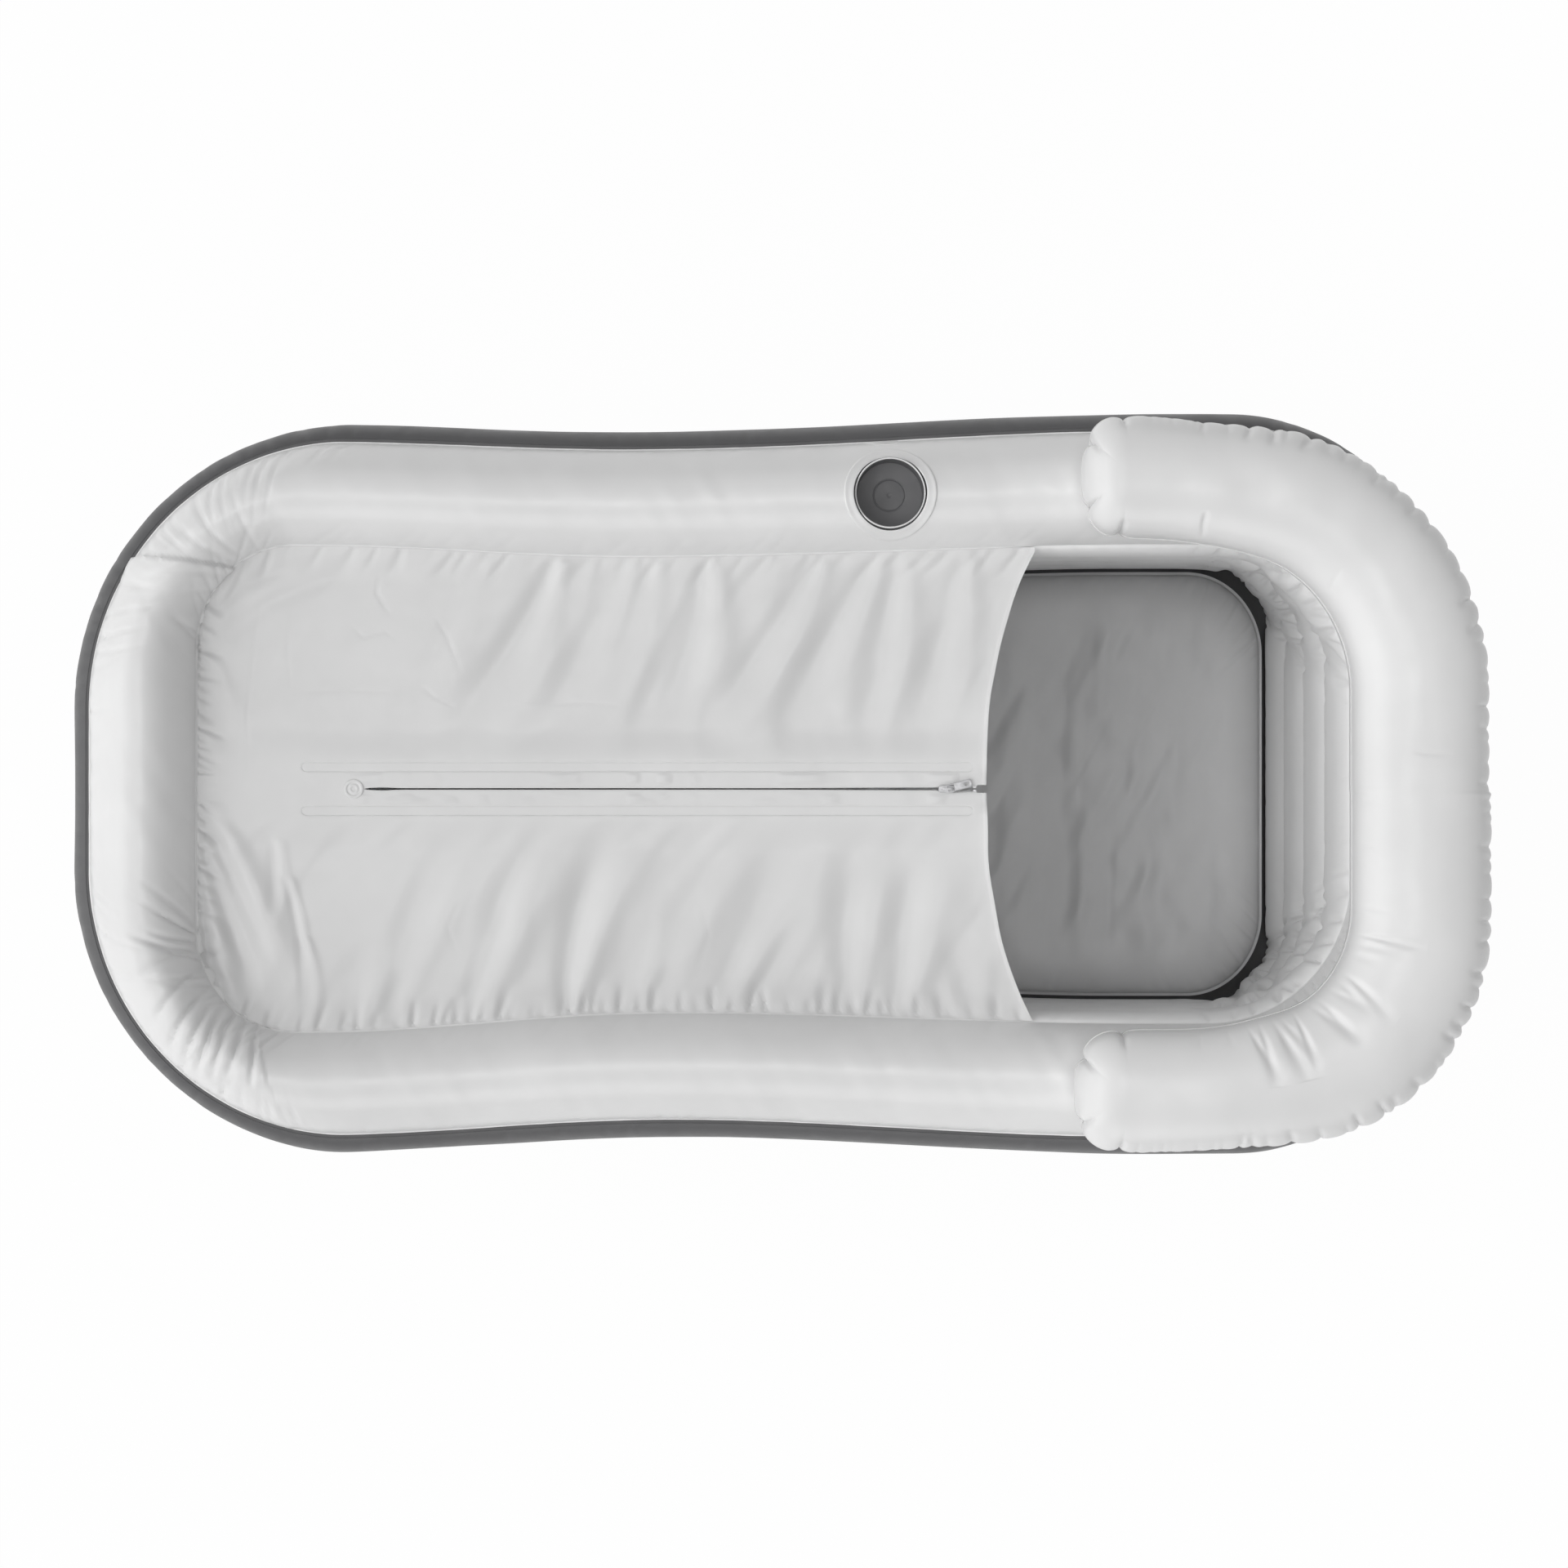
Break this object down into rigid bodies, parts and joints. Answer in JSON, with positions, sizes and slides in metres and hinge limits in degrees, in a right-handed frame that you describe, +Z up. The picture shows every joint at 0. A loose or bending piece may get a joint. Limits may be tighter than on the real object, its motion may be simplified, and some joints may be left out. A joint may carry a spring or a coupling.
{
  "type": "inflatable bathtub",
  "caption": "Ribbed inflatable bathtub with a raised headrest cushion, a zipped cover over the leg end, a cup holder in the rim, air valves and a drain.",
  "frame": {"origin": "on the ground under the middle of the tub", "axes": "+X towards the head end, +Y towards the side with the cup holder, +Z up"},
  "size_m": [1.5994, 0.8628, 0.6385],
  "materials": {
    "dark_pvc": "dark grey PVC sheet, satin",
    "white_pvc": "white PVC sheet, soft sheen",
    "grey_pvc": "mid grey PVC sheet, satin",
    "cover_pvc": "white PVC sheet, soft sheen",
    "clear_pvc": "moulded translucent PVC",
    "zip_tape": "woven white tape",
    "zip_plastic": "white plastic coil",
    "zip_metal": "plated zip metal",
    "cup_pvc": "dark grey PVC, satin"
  },
  "bodies": {
    "tub": {"base_sheet": "dark_pvc", "outer_wall": "dark_pvc", "inner_wall": "white_pvc", "top_rim": "white_pvc", "tension_web_1": "white_pvc", "tension_web_2": "white_pvc", "tension_web_3": "white_pvc", "floor_pad": "grey_pvc", "headrest": "white_pvc", "cup_pocket": "cup_pvc", "cup_collar": "white_pvc", "cover_sheet": "cover_pvc", "cover_weld_strip_left": "cover_pvc", "cover_weld_strip_right": "cover_pvc", "slit_end_disc": "cover_pvc", "zip_tape_left": "zip_tape", "zip_tape_right": "zip_tape", "zip_coil_left": "zip_plastic", "zip_coil_right": "zip_plastic", "zip_top_stop_left": "zip_metal", "zip_top_stop_right": "zip_metal", "zip_bottom_stop": "zip_metal", "wall_valve_base": "clear_pvc", "pad_valve_base": "clear_pvc", "headrest_valve_base": "clear_pvc", "drain_inner_flange": "clear_pvc", "drain_tube": "dark_pvc", "drain_outer_flange": "dark_pvc"},
    "slider": {"zip_slider": "zip_metal", "zip_slider_bridge": "zip_metal"},
    "pull": {"zip_pull": "zip_metal"},
    "wall_cap": {"wall_valve_cap": "clear_pvc"},
    "wall_flap": {"wall_valve_flap": "clear_pvc"},
    "pad_cap": {"pad_valve_cap": "clear_pvc"},
    "headrest_cap": {"headrest_valve_cap": "clear_pvc"},
    "drain_outer_cap": {"drain_cap": "dark_pvc"},
    "drain_stopper": {"drain_plug": "dark_pvc"}
  },
  "joints": [
    {"name": "zip_slide", "type": "slide", "parent": "tub", "child": "slider", "axis": [1, 0, 0], "range_m": [-0.641, 0.018]},
    {"name": "zip_pull_hinge", "type": "hinge", "parent": "slider", "child": "pull", "pos_m": [0.2165, -0.0055, 0.47275], "axis": [0.2588, -0.9659, 0], "range_deg": [0, 170]},
    {"name": "wall_cap_hinge", "type": "hinge", "parent": "tub", "child": "wall_cap", "pos_m": [0.79568, 0.06, 0.30681], "axis": [0, -1, 0], "range_deg": [0, 150]},
    {"name": "wall_flap_hinge", "type": "hinge", "parent": "tub", "child": "wall_flap", "pos_m": [0.77453, 0.06, 0.29831], "axis": [0, 1, 0], "range_deg": [0, 50]},
    {"name": "pad_cap_hinge", "type": "hinge", "parent": "tub", "child": "pad_cap", "pos_m": [-0.48605, 0, 0.05255], "axis": [0, 1, 0], "range_deg": [0, 150]},
    {"name": "headrest_cap_hinge", "type": "hinge", "parent": "tub", "child": "headrest_cap", "pos_m": [0.79868, 0, 0.55658], "axis": [0, -1, 0], "range_deg": [0, 150]},
    {"name": "drain_cap_hinge", "type": "hinge", "parent": "tub", "child": "drain_outer_cap", "pos_m": [-0.7993, 0, 0.08006], "axis": [0, 1, 0], "range_deg": [0, 150]},
    {"name": "drain_plug_slide", "type": "slide", "parent": "tub", "child": "drain_stopper", "axis": [1, 0, 0], "range_m": [0, 0.014]}
  ]
}
